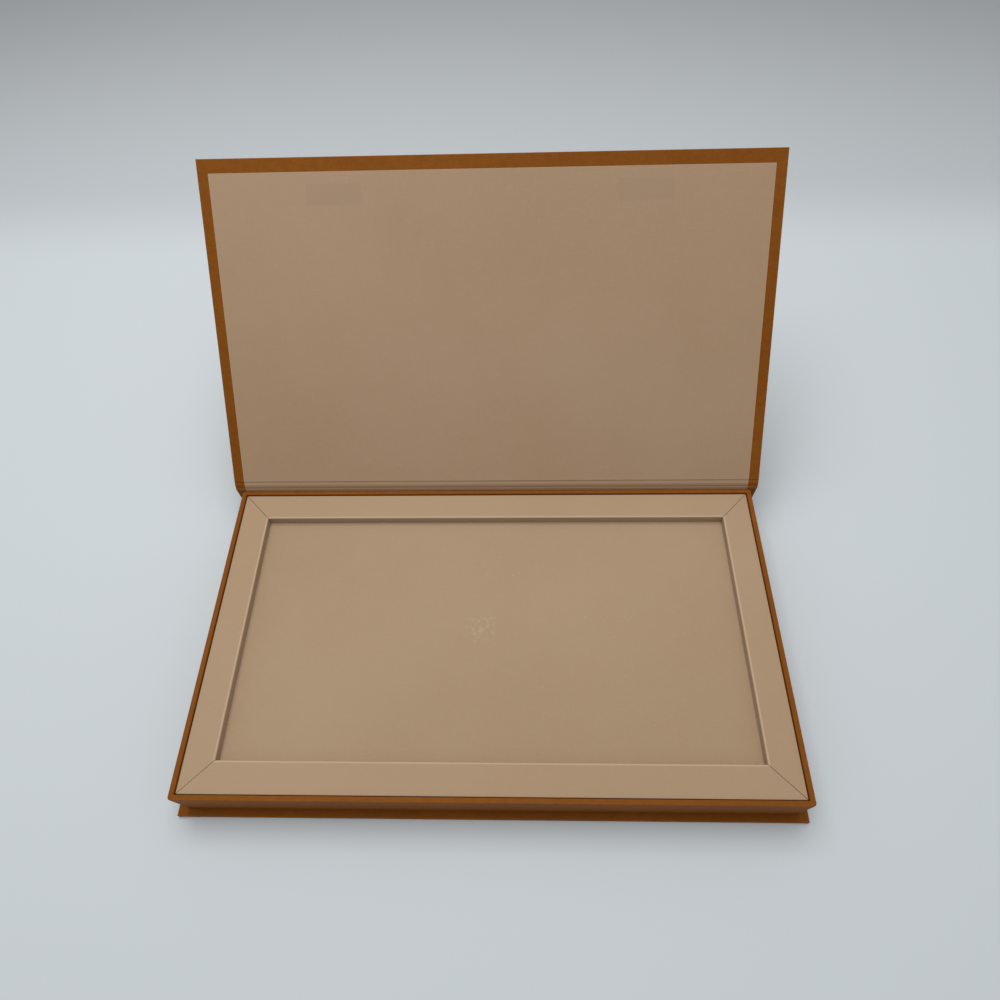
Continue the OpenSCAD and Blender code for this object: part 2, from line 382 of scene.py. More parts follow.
# Crossed threads pressed into the cover paper, the same on every side of a board
def makeCanvasGrain():
    look = canvasLook
    group, start, end = newGroup(
        "canvasGrain",
        [("Vector", "NodeSocketVector", None), ("Threads", "NodeSocketFloat", 1500.0)],
        [("Height", "NodeSocketFloat"), ("Tone", "NodeSocketFloat")],
    )
    vector = start.outputs["Vector"]
    threads = []
    for axis in ("X", "Y", "Z"):
        wave = group.nodes.new("ShaderNodeTexWave")
        wave.bands_direction = axis
        group.links.new(vector, wave.inputs["Vector"])
        group.links.new(start.outputs["Threads"], wave.inputs["Scale"])
        wave.inputs["Distortion"].default_value = look["distortion"]
        wave.inputs["Detail"].default_value = look["detail"]
        wave.inputs["Detail Scale"].default_value = look["detailScale"]
        threads.append(wave.outputs["Fac"])
    allThreads = maths(group, "ADD", maths(group, "ADD", threads[0], threads[1]), threads[2])
    crossed = maths(group, "MULTIPLY", allThreads, look["crossShare"])
    patchy = ramped(group, noise(group, vector, look["patchScale"], 3.0, 0.6), *look["patchRange"])
    height = maths(group, "MULTIPLY", crossed, patchy)
    slubs = twoWays(group, vector, look)
    raised = maths(group, "MULTIPLY", slubs, look["fibreHeight"])
    group.links.new(maths(group, "ADD", height, raised), end.inputs["Height"])
    tone = maths(group, "MULTIPLY", maths(group, "ADD", height, slubs), look["toneShare"], True)
    group.links.new(tone, end.inputs["Tone"])
    return group


feltLook = {
    "toothScale": 2600.0,
    "toothHeight": 0.6,
    "along": (160.0, 1200.0, 1200.0),
    "alongRange": (0.5, 0.8),
    "up": (1200.0, 200.0, 1200.0),
    "upRange": (0.52, 0.8),
    "fibreDetail": 3.0,
    "fibreHeight": 0.7,
    "toneShare": 0.6,
}


# Short fibres and a soft tooth of smooth lining paper
def makeFeltGrain():
    look = feltLook
    group, start, end = newGroup(
        "feltGrain",
        [("Vector", "NodeSocketVector", None)],
        [("Height", "NodeSocketFloat"), ("Tone", "NodeSocketFloat")],
    )
    vector = start.outputs["Vector"]
    tooth = noise(group, vector, look["toothScale"], 3.0, 0.6)
    tooth = maths(group, "MULTIPLY", tooth, look["toothHeight"])
    fibres = twoWays(group, vector, look)
    raised = maths(group, "MULTIPLY", fibres, look["fibreHeight"])
    group.links.new(maths(group, "ADD", tooth, raised), end.inputs["Height"])
    group.links.new(maths(group, "MULTIPLY", fibres, look["toneShare"], True), end.inputs["Tone"])
    return group


driftLook = {"detail": 4.0, "rough": 0.55, "range": (0.3, 0.7)}


# Slow changes of tone over a whole sheet
def makeToneDrift():
    look = driftLook
    group, start, end = newGroup(
        "toneDrift",
        [("Vector", "NodeSocketVector", None), ("Scale", "NodeSocketFloat", 9.0)],
        [("Tone", "NodeSocketFloat")],
    )
    slow = noise(group, start.outputs["Vector"], start.outputs["Scale"], look["detail"], look["rough"])
    group.links.new(ramped(group, slow, *look["range"]), end.inputs["Tone"])
    return group


wearLook = {"patchScale": 260.0, "patchRange": (0.35, 0.65, 0.25, 1.0)}


# Where two sides of a board meet, broken up by handling
def makeEdgeWear():
    group, start, end = newGroup(
        "edgeWear",
        [
            ("Vector", "NodeSocketVector", None),
            ("Middle", "NodeSocketVector", (0.0, 0.0, 0.0)),
            ("Half Size", "NodeSocketVector", (0.1, 0.1, 0.1)),
            ("Width", "NodeSocketFloat", 0.001),
        ],
        [("Mask", "NodeSocketFloat")],
    )
    offset, half = fromMiddle(group, start)
    closeness = []
    for i in range(3):
        far = maths(group, "ABSOLUTE", offset[i])
        begin = maths(group, "SUBTRACT", half[i], start.outputs["Width"])
        closeness.append(ramped(group, far, begin, half[i]))
    x, y, z = closeness
    pairs = [maths(group, "MULTIPLY", a, b) for a, b in ((x, y), (y, z), (x, z))]
    edge = maths(group, "MAXIMUM", maths(group, "MAXIMUM", pairs[0], pairs[1]), pairs[2])
    patches = noise(group, start.outputs["Vector"], wearLook["patchScale"], 4.0, 0.6)
    broken = ramped(group, patches, *wearLook["patchRange"])
    group.links.new(maths(group, "MULTIPLY", edge, broken, True), end.inputs["Mask"])
    return group


dustLook = {
    "cellScale": 260.0,
    "speckRange": (0.05, 0.1, 1.0, 0.0),
    "rareScale": 31.0,
    "rareRange": (0.56, 0.66),
}


# Tiny pale specks of dust
def makeDust():
    group, start, end = newGroup(
        "paperDust",
        [("Vector", "NodeSocketVector", None), ("Amount", "NodeSocketFloat", 0.5)],
        [("Mask", "NodeSocketFloat")],
    )
    cells = group.nodes.new("ShaderNodeTexVoronoi")
    group.links.new(start.outputs["Vector"], cells.inputs["Vector"])
    cells.inputs["Scale"].default_value = dustLook["cellScale"]
    speck = ramped(group, cells.outputs["Distance"], *dustLook["speckRange"])
    patches = noise(group, start.outputs["Vector"], dustLook["rareScale"], 3.0)
    rare = ramped(group, patches, *dustLook["rareRange"])
    specks = maths(group, "MULTIPLY", speck, rare)
    group.links.new(maths(group, "MULTIPLY", specks, start.outputs["Amount"]), end.inputs["Mask"])
    return group


# The slanting line where two turned-in edges of a cover meet at a front corner
def makeCornerFold():
    group, start, end = newGroup(
        "cornerFold",
        [
            ("Vector", "NodeSocketVector", None),
            ("Middle", "NodeSocketVector", (0.0, 0.0, 0.0)),
            ("Half Size", "NodeSocketVector", (0.1, 0.1, 0.1)),
            ("Width", "NodeSocketFloat", 0.0002),
            ("Reach", "NodeSocketFloat", 0.015),
            ("Side", "NodeSocketFloat", 1.0),
        ],
        [("Mask", "NodeSocketFloat")],
    )
    offset, half = fromMiddle(group, start)
    margins = [maths(group, "SUBTRACT", half[i], maths(group, "ABSOLUTE", offset[i])) for i in range(2)]
    apart = maths(group, "ABSOLUTE", maths(group, "SUBTRACT", margins[0], margins[1]))
    line = ramped(group, apart, 0.0, start.outputs["Width"], 1.0, 0.0)
    wider = maths(group, "MAXIMUM", margins[0], margins[1])
    within = maths(group, "LESS_THAN", wider, start.outputs["Reach"])
    sameSide = maths(group, "MULTIPLY", offset[2], start.outputs["Side"])
    sided = maths(group, "GREATER_THAN", sameSide, 0.0)
    inFront = maths(group, "LESS_THAN", offset[1], 0.0)
    corner = maths(group, "MULTIPLY", maths(group, "MULTIPLY", within, sided), inFront)
    group.links.new(maths(group, "MULTIPLY", line, corner), end.inputs["Mask"])
    return group


# A soft-edged rectangle in the sheet's own plane
def makeSoftBox():
    group, start, end = newGroup(
        "softBox",
        [
            ("Vector", "NodeSocketVector", None),
            ("Middle", "NodeSocketVector", (0.0, 0.0, 0.0)),
            ("Half Size", "NodeSocketVector", (0.01, 0.01, 0.0)),
            ("Blur", "NodeSocketFloat", 0.001),
        ],
        [("Mask", "NodeSocketFloat")],
    )
    offset, half = fromMiddle(group, start)
    inside = []
    for i in range(2):
        far = maths(group, "ABSOLUTE", offset[i])
        outer = maths(group, "ADD", half[i], start.outputs["Blur"])
        inside.append(ramped(group, far, half[i], outer, 1.0, 0.0))
    group.links.new(maths(group, "MULTIPLY", inside[0], inside[1]), end.inputs["Mask"])
    return group


groups = {
    "canvas": makeCanvasGrain(),
    "felt": makeFeltGrain(),
    "drift": makeToneDrift(),
    "wear": makeEdgeWear(),
    "dust": makeDust(),
    "softBox": makeSoftBox(),
    "fold": makeCornerFold(),
}
print("node groups made")


def useGroup(tree, key, vector, **values):
    node = tree.nodes.new("ShaderNodeGroup")
    node.node_tree = groups[key]
    tree.links.new(vector, node.inputs["Vector"])
    for label, value in values.items():
        node.inputs[label.replace("_", " ")].default_value = value
    return node


# Mask of a soft-edged rectangle
def softMask(tree, vector, middle, half, blur):
    box = useGroup(tree, "softBox", vector, Middle=middle, Half_Size=half, Blur=blur)
    return box.outputs["Mask"]


def startMaterial(name, specular):
    material = bpy.data.materials.new(name)
    material.use_nodes = True
    shader = material.node_tree.nodes["Principled BSDF"]
    shader.inputs["Specular IOR Level"].default_value = specular
    return material, material.node_tree, shader


def placeOnBox(tree):
    node = tree.nodes.new("ShaderNodeAttribute")
    node.attribute_name = "flatPlace"
    return node.outputs["Vector"]


def bumped(tree, shader, height, strength, depth):
    node = tree.nodes.new("ShaderNodeBump")
    node.inputs["Strength"].default_value = strength
    node.inputs["Distance"].default_value = depth
    tree.links.new(height, node.inputs["Height"])
    tree.links.new(node.outputs["Normal"], shader.inputs["Normal"])


wrapLook = {
    "edgeRound": 0.32 * mm,
    "edgeSteps": 3,
    "turnIn": 15 * mm,
    "spineTurnIn": 9 * mm,
    "lidEnd": 0.16 * mm,
    "spineEnd": 0.08 * mm,
}

# Orange-tan cover paper with a pressed canvas grain
coverLook = {
    "colour": (0.224, 0.067, 0.0028, 1.0),
    "shade": (0.200, 0.056, 0.0016, 1.0),
    "pale": (0.32, 0.118, 0.012, 1.0),
    "deep": (0.165, 0.046, 0.001, 1.0),
    "mottle": 0.4,
    "mottleScale": 190.0,
    "mottleRange": (0.4, 0.62),
    "threads": 760.0,
    "roughness": (0.56, 0.7),
    "specular": 0.12,
    "driftScale": 11.0,
    "grainShare": 0.45,
    "bump": 0.55,
    "bumpDepth": 0.00006,
    "wearWidth": 0.9 * mm,
    "wear": 0.35,
    "foldWidth": 0.25 * mm,
    "foldDepth": 1.6,
    "foldShade": 0.5,
}


def coverMaterial(name, low, high, foldSide=0):
    look = coverLook
    material, tree, shader = startMaterial(name, look["specular"])
    vector = placeOnBox(tree)
    grain = useGroup(tree, "canvas", vector, Threads=look["threads"])
    drift = useGroup(tree, "drift", vector, Scale=look["driftScale"])
    base = tint(tree, drift.outputs["Tone"], look["colour"], look["shade"])
    mottle = noise(tree, vector, look["mottleScale"], 3.0, 0.6)
    mottle = ramped(tree, mottle, *look["mottleRange"])
    base = over(tree, base, look["deep"], mottle, look["mottle"])
    base = over(tree, base, look["pale"], grain.outputs["Tone"], look["grainShare"])
    middle, half = (low + high) / 2, (high - low) / 2
    wear = useGroup(tree, "wear", vector, Middle=middle, Half_Size=half, Width=look["wearWidth"])
    base = over(tree, base, look["pale"], wear.outputs["Mask"], look["wear"])
    height = grain.outputs["Height"]
    if foldSide:
        fold = useGroup(
            tree, "fold", vector,
            Middle=middle, Half_Size=half,
            Width=look["foldWidth"], Reach=wrapLook["turnIn"], Side=foldSide,
        )
        crease = fold.outputs["Mask"]
        base = over(tree, base, look["shade"], crease, look["foldShade"])
        height = maths(tree, "SUBTRACT", height, maths(tree, "MULTIPLY", crease, look["foldDepth"]))
    tree.links.new(base, shader.inputs["Base Color"])
    rough = ramped(tree, grain.outputs["Tone"], 0.0, 1.0, *look["roughness"])
    tree.links.new(rough, shader.inputs["Roughness"])
    bumped(tree, shader, height, look["bump"], look["bumpDepth"])
    return material


# Pale lining paper, smooth with short fibres
liningLook = {
    "colour": (0.396, 0.264, 0.164, 1.0),
    "shade": (0.370, 0.243, 0.145, 1.0),
    "pale": (0.47, 0.335, 0.225, 1.0),
    "mark": (0.335, 0.222, 0.142, 1.0),
    "markShare": 0.36,
    "markBlur": 1.2 * mm,
    # Pale line at the lining's cut edges: partly the paler cut fibres, partly a painted highlight where the
    # sheet's edge catches light
    "cutEdgeAndHighlightShare": 0.6,
    # Painted highlight: a paler tint along the rails' rounded inner top edges, where the rounding catches the
    # light
    "lipHighlight": (0.56, 0.42, 0.30, 1.0),
    "lipShare": 0.6,
    "lipBlur": 0.5 * mm,
    "lipDepth": 0.8 * mm,
    "dust": (0.6, 0.5, 0.4, 1.0),
    "edgeWidth": 0.35 * mm,
    "driftScale": 7.0,
    "grainShare": 0.3,
    "dustAmount": 0.35,
    "roughness": (0.68, 0.8),
    "specular": 0.22,
    "bump": 0.35,
    "bumpDepth": 0.00004,
}


def liningMaterial(name, marks=(), scuff=None, edges=None, creviceShade=None, lipHighlight=None, changes=None):
    look = {**liningLook, **(changes or {})}
    material, tree, shader = startMaterial(name, look["specular"])
    vector = placeOnBox(tree)
    grain = useGroup(tree, "felt", vector)
    drift = useGroup(tree, "drift", vector, Scale=look["driftScale"])
    dust = useGroup(tree, "dust", vector, Amount=look["dustAmount"])
    base = tint(tree, drift.outputs["Tone"], look["colour"], look["shade"])
    base = over(tree, base, look["pale"], grain.outputs["Tone"], look["grainShare"])
    for low, high in marks:
        mask = softMask(tree, vector, (low + high) / 2, (high - low) / 2, look["markBlur"])
        base = over(tree, base, look["mark"], mask, look["markShare"])
    # Pale line along the sheet's edges, partly real cut fibres and partly painted highlight
    if edges:
        low, high = edges
        inset = Vector((look["edgeWidth"], look["edgeWidth"], 0))
        half = (high - low) / 2 - inset
        mask = softMask(tree, vector, (low + high) / 2, half, look["edgeWidth"])
        base = over(tree, base, look["pale"], maths(tree, "SUBTRACT", 1.0, mask), look["cutEdgeAndHighlightShare"])
    # Painted highlight along the rails' rounded inner top edges, only near the top of the rounding
    if lipHighlight:
        low, high = lipHighlight
        mask = softMask(tree, vector, (low + high) / 2, (high - low) / 2, look["lipBlur"])
        split = tree.nodes.new("ShaderNodeSeparateXYZ")
        tree.links.new(vector, split.inputs[0])
        onTop = ramped(tree, split.outputs["Z"], high.z - look["lipDepth"], high.z)
        base = over(tree, base, look["lipHighlight"], maths(tree, "MULTIPLY", mask, onTop), look["lipShare"])
    # Painted shade laid over the lining in a soft band
    if creviceShade:
        mask = softMask(tree, vector, creviceShade["middle"], creviceShade["half"], creviceShade["blur"])
        base = over(tree, base, creviceShade["colour"], mask, creviceShade["share"])
    base = tint(tree, dust.outputs["Mask"], base, look["dust"])
    if scuff:
        mask = softMask(tree, vector, scuff["middle"], scuff["half"], scuff["blur"])
        patchy = noise(tree, vector, scuff["patchScale"], 4.0, 0.65)
        patchy = ramped(tree, patchy, *scuff["patchRange"])
        base = over(tree, base, look["dust"], maths(tree, "MULTIPLY", mask, patchy), scuff["share"])
    tree.links.new(base, shader.inputs["Base Color"])
    rough = ramped(tree, grain.outputs["Tone"], 0.0, 1.0, *look["roughness"])
    tree.links.new(rough, shader.inputs["Roughness"])
    bumped(tree, shader, grain.outputs["Height"], look["bump"], look["bumpDepth"])
    return material


cardLook = {
    "pulpScale": 900.0,
    "pulpRange": (0.35, 0.7),
    "driftScale": 25.0,
    "driftShare": 0.25,
    "roughness": (0.82, 0.9),
    "specular": 0.2,
    "bump": 0.4,
    "bumpDepth": 0.00008,
}


# Boards and cards inside the box, with their grain on Object coordinates
def cardMaterial(name, colour, fleck):
    look = cardLook
    material, tree, shader = startMaterial(name, look["specular"])
    coords = tree.nodes.new("ShaderNodeTexCoord").outputs["Object"]
    pulp = ramped(tree, noise(tree, coords, look["pulpScale"], 4.0, 0.7), *look["pulpRange"])
    slow = useGroup(tree, "drift", coords, Scale=look["driftScale"])
    base = tint(tree, pulp, colour, fleck)
    base = over(tree, base, fleck, slow.outputs["Tone"], look["driftShare"])
    tree.links.new(base, shader.inputs["Base Color"])
    tree.links.new(ramped(tree, pulp, 0.0, 1.0, *look["roughness"]), shader.inputs["Roughness"])
    bumped(tree, shader, pulp, look["bump"], look["bumpDepth"])
    return material


plateLook = {
    "dark": (0.55, 0.55, 0.56, 1.0),
    "light": (0.68, 0.68, 0.7, 1.0),
    "brush": (40.0, 2500.0, 2500.0),
    "brushRange": (0.2, 0.8),
    "roughness": (0.28, 0.45),
    "specular": 0.5,
    "bump": 0.2,
    "bumpDepth": 0.00002,
}


# Brushed steel of the magnets' casings and the keeper plates
def plateMaterial():
    look = plateLook
    material, tree, shader = startMaterial("platedSteel", look["specular"])
    shader.inputs["Metallic"].default_value = 1.0
    coords = tree.nodes.new("ShaderNodeTexCoord").outputs["Object"]
    brushed = noise(tree, stretched(tree, coords, look["brush"]), 1.0, 3.0)
    base = tint(tree, brushed, look["dark"], look["light"])
    tree.links.new(base, shader.inputs["Base Color"])
    rough = ramped(tree, brushed, *look["brushRange"], *look["roughness"])
    tree.links.new(rough, shader.inputs["Roughness"])
    bumped(tree, shader, brushed, look["bump"], look["bumpDepth"])
    return material


# Cover paper round a board, turned in round a window on its inner side
def coverBoard(name, low, high, window, turnIn, opening=None):
    piece = addBlock(name, low, high)
    if opening:
        faces(piece, opening, lambda: bpy.ops.mesh.delete(type="FACE"))

    def cutWindow():
        bpy.ops.mesh.inset(thickness=turnIn, use_boundary=False, use_even_offset=True)
        bpy.ops.mesh.delete(type="FACE")

    faces(piece, window, cutWindow)
    bevelWhere(piece, isCorner, wrapLook["edgeRound"], wrapLook["edgeSteps"])
    thicken(piece, coverSheet)
    return piece


def makeLidCover():
    high = lidHigh + Vector((0, wrapLook["lidEnd"], 0))
    piece = coverBoard("lidCover", lidLow, high, (0, 0, -1), wrapLook["turnIn"])
    material = coverMaterial("coverPaperLid", lidLow, lidHigh, foldSide=-1)
    finishPiece(piece, material, "lid", ["lid_cover"], True)


def makeBaseCover():
    piece = coverBoard("baseCover", baseLow, baseHigh, (0, 0, 1), wrapLook["turnIn"], (0, 1, 0))
    material = coverMaterial("coverPaperBase", baseLow, baseHigh, foldSide=1)
    finishPiece(piece, material, "case", ["base_cover"])


def makeSpineCover():
    high = spineHigh + Vector((0, 0, wrapLook["spineEnd"]))
    piece = coverBoard("spineCover", spineLow, high, (0, -1, 0), wrapLook["spineTurnIn"])
    material = coverMaterial("coverPaperSpine", spineLow, spineHigh)
    finishPiece(piece, material, "case", ["spine_cover"])


trayLook = {
    "cornerRound": 1.8 * mm,
    "cornerSteps": 6,
    "rimRound": 0.42 * mm,
    "rimSteps": 4,
    "rimTurn": 9 * mm,
    "turnUnder": 12 * mm,
}


# Cover paper of the tray: outside, over the rounded rim, down inside, and turned under
def makeTrayWrap():
    piece = addBlock("trayWrap", trayLow, trayHigh)

    def sinkInside():
        bpy.ops.mesh.inset(thickness=wallFull, use_even_offset=True)
        bpy.ops.mesh.extrude_region_move(TRANSFORM_OT_translate={"value": (0, 0, -trayLook["rimTurn"])})
        bpy.ops.mesh.delete(type="FACE")

    def openUnder():
        bpy.ops.mesh.inset(thickness=trayLook["turnUnder"], use_even_offset=True)
        bpy.ops.mesh.delete(type="FACE")

    faces(piece, (0, 0, 1), sinkInside)
    faces(piece, (0, 0, -1), openUnder)
    halfWide, halfDeep = (trayHigh.x - trayLow.x) / 2, (trayHigh.y - trayLow.y) / 2

    def isOuterPost(edge):
        return upright(edge) and all(
            near(abs(v.co.x), halfWide) and near(abs(v.co.y - trayMid), halfDeep) for v in edge.verts
        )

    def isRim(edge):
        return isCorner(edge) and all(near(v.co.z, trayHigh.z) for v in edge.verts)

    bevelWhere(piece, isOuterPost, trayLook["cornerRound"], trayLook["cornerSteps"])
    bevelWhere(piece, isRim, trayLook["rimRound"], trayLook["rimSteps"])
    thicken(piece, coverSheet)
    material = coverMaterial("coverPaperTray", trayLow, trayHigh)
    finishPiece(piece, material, "case", ["tray_wrap"])


railLook = {
    "paper": {"colour": (0.408, 0.278, 0.172, 1.0), "shade": (0.388, 0.258, 0.156, 1.0)},
    "edgeRound": 0.9 * mm,
    "edgeSteps": 5,
    "outerRound": 0.35 * mm,
    "outerSteps": 3,
    "seamRound": 0.22 * mm,
    "seamSteps": 2,
    "seamPlay": 1 * mm,
    "seamSlack": 0.009 * mm,
    "mitreStretch": 1.5,
    "levelReach": 1e-7,
}


# One rail in its paper, drawn along x with its outer side in front, then turned into place
def makeRail(name, node, span, turn, depth, material):
    wide = railHigh.y - railLow.y
    low = Vector((-span / 2, 0, railLow.z))
    high = Vector((span / 2, wide, railHigh.z))
    piece = addBlock(name, low, high)
    for side in (-1, 1):
        pick(piece, "VERT", lambda v: near(v.co.x, side * span / 2) and near(v.co.y, wide))
        bpy.ops.transform.translate(value=(-side * wide, 0, 0))
        leaveEdit()
    faces(piece, (0, 0, -1), lambda: bpy.ops.mesh.delete(type="FACE"))
    for y, size, steps in ((0, "outerRound", "outerSteps"), (wide, "edgeRound", "edgeSteps")):
        def isLongEdge(edge):
            return all(near(v.co.z, high.z) and near(v.co.y, y) for v in edge.verts)

        bevelWhere(piece, isLongEdge, railLook[size], railLook[steps])
    nearEnd = span / 2 - wide - railLook["seamPlay"]
    seamTop = high.z - railLook["edgeRound"] - railLook["seamSlack"]
    seamLow = low.z + railLook["seamPlay"]

    def isMitre(edge):
        inPlace = isCorner(edge) and all(abs(v.co.x) > nearEnd for v in edge.verts)
        heights = [v.co.z for v in edge.verts]
        slanted = not near(edge.verts[0].co.y, edge.verts[1].co.y, railLook["levelReach"])
        short = edge.calc_length() < wide * railLook["mitreStretch"]
        return inPlace and max(heights) > seamTop and min(heights) > seamLow and slanted and short

    bevelWhere(piece, isMitre, railLook["seamRound"], railLook["seamSteps"])
    thicken(piece, liningSheet)
    toMiddle = Matrix.Translation((0, trayMid, 0))
    toSide = Matrix.Translation((0, -depth, 0))
    place(piece, toMiddle @ Matrix.Rotation(turn, 4, "Z") @ toSide)
    finishPiece(piece, material, "case", [node])


def makeRails():
    reach = Vector((railLook["edgeRound"], railLook["edgeRound"], 0))
    # Band along the rails' inner top edges where the painted highlight lies
    lipHighlight = (Vector((*panelLow.xy, railLow.z)) - reach, Vector((*panelHigh.xy, railHigh.z)) + reach)
    material = liningMaterial("liningPaperFrame", lipHighlight=lipHighlight, changes=railLook["paper"])
    frontSpan = railHigh.x - railLow.x
    sideSpan = sideRailHigh.y - sideRailLow.y
    halfDeep = trayMid - railLow.y
    halfWide = -sideRailLow.x
    sides = (
        ("Front", frontSpan, 0, halfDeep),
        ("Back", frontSpan, math.pi, halfDeep),
        ("Left", sideSpan, -math.pi / 2, halfWide),
        ("Right", sideSpan, math.pi / 2, halfWide),
    )
    for label, span, turn, depth in sides:
        makeRail("railPaper" + label, "rail_paper_" + label.lower(), span, turn, depth, material)


panelLook = {
    "edgePlay": 0.2 * mm,
    "paper": {"colour": (0.392, 0.272, 0.168, 1.0), "shade": (0.370, 0.252, 0.150, 1.0)},
    "scuff": {
        "middle": (-0.006, 0.002, 0.0),
        "half": (0.005, 0.005, 0.0),
        "blur": 0.006,
        "patchScale": 420.0,
        "patchRange": (0.5, 0.62),
        "share": 0.16,
    },
    "cuts": (24, 12),
    "wave": 0.05 * mm,
    "waveSize": 0.07,
    "sheetShare": 0.5,
}


def wavy(piece, size, depth, way):
    cloud = bpy.data.textures.new(piece.name + "Wave", "CLOUDS")
    cloud.noise_scale = size
    cloud.noise_depth = 1
    ripple = piece.modifiers.new("ripple", "DISPLACE")
    ripple.texture = cloud
    ripple.texture_coords = "LOCAL"
    ripple.direction = "Z"
    ripple.mid_level = 1.0 if way < 0 else 0.0
    ripple.strength = depth
    applyAll(piece)


def addSheet(name, low, high, z, cuts):
    deselectAll()
    bpy.ops.mesh.primitive_grid_add(
        x_subdivisions=cuts[0], y_subdivisions=cuts[1], size=1,
        location=((low.x + high.x) / 2, (low.y + high.y) / 2, z),
    )
    sheet = bpy.context.object
    sheet.name = name
    sheet.scale = (high.x - low.x, high.y - low.y, 1)
    bpy.ops.object.transform_apply(location=True, rotation=True, scale=True)
    return sheet


# Paper on the floor of the recess
def makePanelPaper():
    play = Vector((panelLook["edgePlay"], panelLook["edgePlay"], 0))
    piece = addSheet("panelPaper", panelLow + play, panelHigh - play, panelHigh.z, panelLook["cuts"])
    wavy(piece, panelLook["waveSize"], panelLook["wave"], -1)
    thicken(piece, liningSheet * panelLook["sheetShare"])
    material = liningMaterial("liningPaperPanel", scuff=panelLook["scuff"], changes=panelLook["paper"])
    finishPiece(piece, material, "case", ["panel_paper"])


lidLiningLook = {
    "cuts": (28, 16),
    "wave": 0.06 * mm,
    "waveSize": 0.09,
    "markRise": 0.03 * mm,
    "markEdge": 1.0 * mm,
    "markReach": 12 * mm,
    "sheetShare": 0.8,
}


# Lining of the lid, raised a little over the two magnets
def makeLidLining():
    look = lidLiningLook
    low, high = lidLiningLow, lidLiningHigh
    piece = addSheet("lidLining", low, high, low.z, look["cuts"])
    pick(piece, "FACE", lambda f: True)
    bpy.ops.mesh.flip_normals()
    leaveEdit()
    for boxLow, boxHigh in magnetBoxes:
        def isOverMagnet(face, reach=0.0):
            middle = face.calc_center_median()
            return all(boxLow[i] - reach < middle[i] < boxHigh[i] + reach for i in range(2))

        for way in ((1, 0, 0), (0, 1, 0)):
            for corner in (boxLow, boxHigh):
                pick(piece, "FACE", lambda f: isOverMagnet(f, look["markReach"]))
                bpy.ops.mesh.bisect(plane_co=corner, plane_no=way)
                leaveEdit()
        pick(piece, "FACE", isOverMagnet)
        bpy.ops.mesh.inset(thickness=look["markEdge"], use_even_offset=True)
        bpy.ops.transform.translate(value=(0, 0, -look["markRise"]))
        leaveEdit()
    wavy(piece, look["waveSize"], look["wave"], 1)
    thicken(piece, liningSheet * look["sheetShare"])
    material = liningMaterial("liningPaperLid", marks=magnetBoxes, edges=(low, high))
    finishPiece(piece, material, "lid", ["lid_liner"], True)


# The paths' points and ends are millimetres from the hinge's axis, along y and z
hingeLook = {
    "turnIn": 14 * mm,
    "behind": (0.06, -0.06),
    "foldRound": 0.3 * mm,
    "foldSteps": 3,
    "spineDrop": 0.9 * mm,
    "linerPath": ((0.72, 3.78), (-0.90, 2.00), (-1.75, -0.30)),
    "linerEnds": (-0.85, -1.2),
    "coverBend": (-0.1 * mm, 0.5 * mm),
    # Painted shade: a dark orange-brown band where the hinge lining goes down into the gap between the spine and
    # the tray's back wall
    "creviceShade": {
        "colour": (0.19, 0.085, 0.035, 1.0),
        "share": 0.5,
        "y": -2.4 * mm,
        "half": (0.2, 0.0008, 0.0),
        "blur": 0.4 * mm,
    },
}


def isFold(edge):
    first, second = edge.verts[0].co, edge.verts[1].co
    return len(edge.link_faces) == 2 and near(first.y, second.y) and near(first.z, second.z)


# A strip of paper that follows a path across the hinge, with the lid open
def makeStrip(name, path, width, sheet, side, x=0.0):
    path = [point + Vector((x, 0, 0)) for point in path]
    first, second = path[0], path[1]
    run = second - first
    deselectAll()
    bpy.ops.mesh.primitive_plane_add(size=1)
    strip = bpy.context.object
    strip.name = name
    turned = Matrix.Rotation(math.atan2(run.z, run.y), 4, "X")
    sized = Matrix.Diagonal((width, run.length, 1, 1))
    strip.matrix_world = Matrix.Translation((first + second) / 2) @ turned @ sized
    bpy.ops.object.transform_apply(location=True, rotation=True, scale=True)
    for here, there in zip(path[1:], path[2:]):
        def isLast(edge):
            return all((v.co.yz - here.yz).length < tolerance["sameSpot"] for v in edge.verts)

        pick(strip, "EDGE", isLast)
        bpy.ops.mesh.extrude_region_move(TRANSFORM_OT_translate={"value": tuple(there - here)})
        leaveEdit()
    bevelWhere(strip, isFold, hingeLook["foldRound"], hingeLook["foldSteps"])
    thicken(strip, sheet, side)
    return strip


def acrossHinge(y, z):
    return Vector((0, hingePoint.y + y, hingePoint.z + z))


# Finishes a hinge paper in the open lid's place and bakes that place into its mesh; it is attached to neither body
def finishHingePaper(piece, material, node):
    finishPiece(piece, material, None, [node])
    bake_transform(piece)


